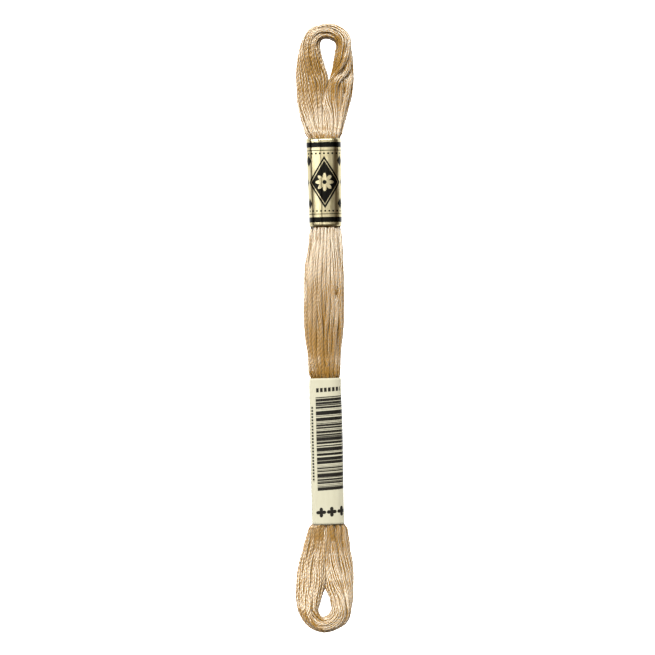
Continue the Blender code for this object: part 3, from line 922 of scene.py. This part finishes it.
def gold_finish():
    """Gold printed in black: a stripe at each end, and lozenges with a flower between them."""
    stripe_half, line_half, bead_radius, eye_radius = 0.68, 0.10, 0.26, 0.55
    finish = Finish("gold_printed_paper", "Print")
    v, u = finish.first, finish.second
    across = u.repeated(GOLD_REPEAT)
    stripe = abs(abs(v) - STRIPE_AT) - stripe_half
    line = abs(abs(v) - LINE_AT) - line_half
    beads = length_of(u.repeated(GOLD_REPEAT / BEADS_A_REPEAT), abs(v) - BEADS_AT) - bead_radius
    shape = lozenge(across, v, 4.25, 6.9)
    ring = abs(lozenge(across, v, 3.6, 5.85)) - line_half
    radius, flower = flower_of(across, v, petals=8, petal=1.25, heart=1.15)
    eye = radius - eye_radius
    side = (u + GOLD_REPEAT / 2).repeated(GOLD_REPEAT)
    small = lozenge(side, abs(v) - SMALL_AT, 0.95, 1.5)
    ink = (stripe & line & beads & small).inside(PRINT_EDGE)
    figure = ring.inside(PRINT_EDGE) | (flower.inside(PRINT_EDGE) & eye.inside(PRINT_EDGE).opposite())
    ink = ink | (shape.inside(PRINT_EDGE) & figure.opposite())
    worn = finish.noise(1.7, 1.7, 4.0)
    mottle = finish.noise(0.5, 0.9, 3.0)
    gold = finish.mix(mottle, GOLD, GOLD_SHADE)
    finish.link("Base Color", finish.mix(ink, gold, BLACK_INK))
    finish.set(Metallic=1.0, Anisotropic=0.6)
    finish.grain("Print")
    finish.link("Roughness", worn * GOLD_WEAR + GOLD_ROUGHNESS)
    finish.relief(finish.noise(5.0, 5.0, 3.0), PAPER_RELIEF)
    return finish.material


# Where the cream print is, in millimetres round from the front and along from the label's middle.
# It leans along by so much for each millimetre round from the place where it is upright.
LEAN = 0.055
UPRIGHT_AT = 0.6
BARS_AT, BARS_HALF = (2.3, 2.1), (4.9, 12.3)
DASHES_AT = 16.2
DASH_STEP = 1.05
FLOWERS_AT = -15.9
FLOWER_STEP = 2.75
SMALL_DOTS_AT, SMALL_DOT_STEP = -3.75, 0.82
RIM_DOTS_AT, RIM_DOT_STEP = -5.15, 1.18


def cream_finish():
    """A cream label: bars of many widths across the front, dashes, dots, and a row of flowers."""
    finish = Finish("cream_printed_paper", "Print")
    finish.set(Specular_IOR_Level=0.10)
    v, u = finish.first, finish.second
    lean = v - (u - UPRIGHT_AT) * LEAN
    block = panel(u - BARS_AT[0], lean - BARS_AT[1], *BARS_HALF)
    # Bars stand where noise along the label is high: a few wide ones and many narrow ones.
    wide = (finish.noise_along(lean * 1.15 + 3.7) * -1.6 + 0.80).inside(PRINT_EDGE)
    narrow = (finish.noise_along(lean * 2.9 + 9.1) * -0.9 + 0.46).inside(PRINT_EDGE)
    bars = (wide | narrow) & block.inside(PRINT_EDGE)
    dashes = panel(u.repeated(DASH_STEP) - 0.05, lean - DASHES_AT, 0.36, 0.55)
    dash_row = panel(u - 0.75, lean - DASHES_AT, 3.4, 1.0)
    row = dashes.inside(PRINT_EDGE) & dash_row.inside(PRINT_EDGE)
    side = panel(u - SMALL_DOTS_AT, v.repeated(SMALL_DOT_STEP), 0.36, 0.27) | (abs(v - 2.0) - 10.0)
    rim = panel(u - RIM_DOTS_AT, v.repeated(RIM_DOT_STEP), 0.24, 0.40) | (abs(v + 1.0) - 15.5)
    across = (u - 1.0).repeated(FLOWER_STEP)
    up = lean - FLOWERS_AT
    _, flower = flower_of(across, up, petals=4, petal=0.75, heart=0.55)
    flowers = flower.inside(PRINT_EDGE) & panel(u - 1.0, up, 4.1, 2.0).inside(PRINT_EDGE)
    ink = bars | row | (side & rim).inside(PRINT_EDGE) | flowers
    mottle = finish.noise(0.35, 0.5, 4.0)
    paper = finish.mix(mottle, CREAM, CREAM_SHADE)
    finish.link("Base Color", finish.mix(ink, paper, LABEL_INK))
    finish.link("Roughness", finish.noise(2.0, 2.0, 3.0) * LABEL_WEAR + LABEL_ROUGHNESS)
    finish.relief(finish.noise(6.0, 6.0, 3.0), PAPER_RELIEF)
    return finish.material


UPPER_CREASES = [Crease(-1.15, 0.10, 0.30), Crease(2.9, 0.05, 0.5), Crease(-3.4, 0.06, 0.4)]
LOWER_CREASES = [Crease(-3.05, 0.13, 0.30), Crease(4.3, 0.08, 0.4)]


def make_bands():
    random = np.random.default_rng(SEED + 1)
    upper = band_object("gold_band_paper", "upper_band", UPPER_CREASES, random)
    upper.data.materials.append(gold_finish())
    lower = band_object("cream_band_paper", "lower_band", LOWER_CREASES, random)
    lower.data.materials.append(cream_finish())


# --- Floor, light and camera ---

FLOOR_GREY = 0.3
FLOOR_GLOW = 2.0
KEY_PLACE = (-0.50, 1.34, 2.30)
KEY_SIZE = (2.8, 1.2)
KEY_POWER = 191.0
WORLD_COLOUR = (1.0, 0.70, 0.38, 1)
WORLD_STRENGTH = 0.15
CAMERA_DISTANCE = 0.80
SCALE_HEIGHT = 3.0 * MM


def make_floor():
    """A pale floor that glows, so that it stays plain white round the hank."""
    size = 3.0
    mesh = bpy.data.meshes.new("floor")
    mesh.from_pydata([(-size, -size, 0), (size, -size, 0), (size, size, 0), (-size, size, 0)], [],
                     [(0, 1, 2, 3)])
    floor = bpy.data.objects.new("floor", mesh)
    bpy.context.scene.collection.objects.link(floor)
    finish = Finish("floor_paint", None)
    finish.set(Base_Color=(FLOOR_GREY, FLOOR_GREY, FLOOR_GREY, 1), Roughness=0.9,
               Specular_IOR_Level=0.0, Emission_Color=(1, 1, 1, 1), Emission_Strength=FLOOR_GLOW)
    mesh.materials.append(finish.material)


def area_light(name, place, target, size, power):
    light = bpy.data.lights.new(name, "AREA")
    light.shape = "RECTANGLE"
    light.size, light.size_y = size
    light.energy = power
    added = bpy.data.objects.new(name, light)
    added.location = place
    added.rotation_euler = (Vector(target) - Vector(place)).to_track_quat("-Z", "Y").to_euler()
    bpy.context.scene.collection.objects.link(added)


def make_light():
    """One large soft light beyond the hank's upper end, a little to its left, and a dim warm glow."""
    area_light("key", KEY_PLACE, (0, 0, 0), KEY_SIZE, KEY_POWER)
    world = bpy.data.worlds.new("studio")
    world.use_nodes = True
    background = world.node_tree.nodes["Background"]
    background.inputs["Color"].default_value = WORLD_COLOUR
    background.inputs["Strength"].default_value = WORLD_STRENGTH
    bpy.context.scene.world = world
    bpy.context.scene.view_settings.view_transform = "Standard"


def make_camera():
    """It looks straight down from so far above the height at which the photograph's scale holds."""
    camera = bpy.data.cameras.new("camera")
    camera.sensor_width = 36
    camera.lens = camera.sensor_width * CAMERA_DISTANCE / (PHOTO_PIXELS * PIXEL)
    camera.clip_start = 0.01
    added = bpy.data.objects.new("camera", camera)
    x = (PHOTO_PIXELS / 2 - PHOTO_MIDDLE_X) * PIXEL
    added.location = (x, 0, SCALE_HEIGHT + CAMERA_DISTANCE)
    bpy.context.scene.collection.objects.link(added)
    bpy.context.scene.camera = added


make_floss()
make_bands()
make_floor()
make_light()
make_camera()
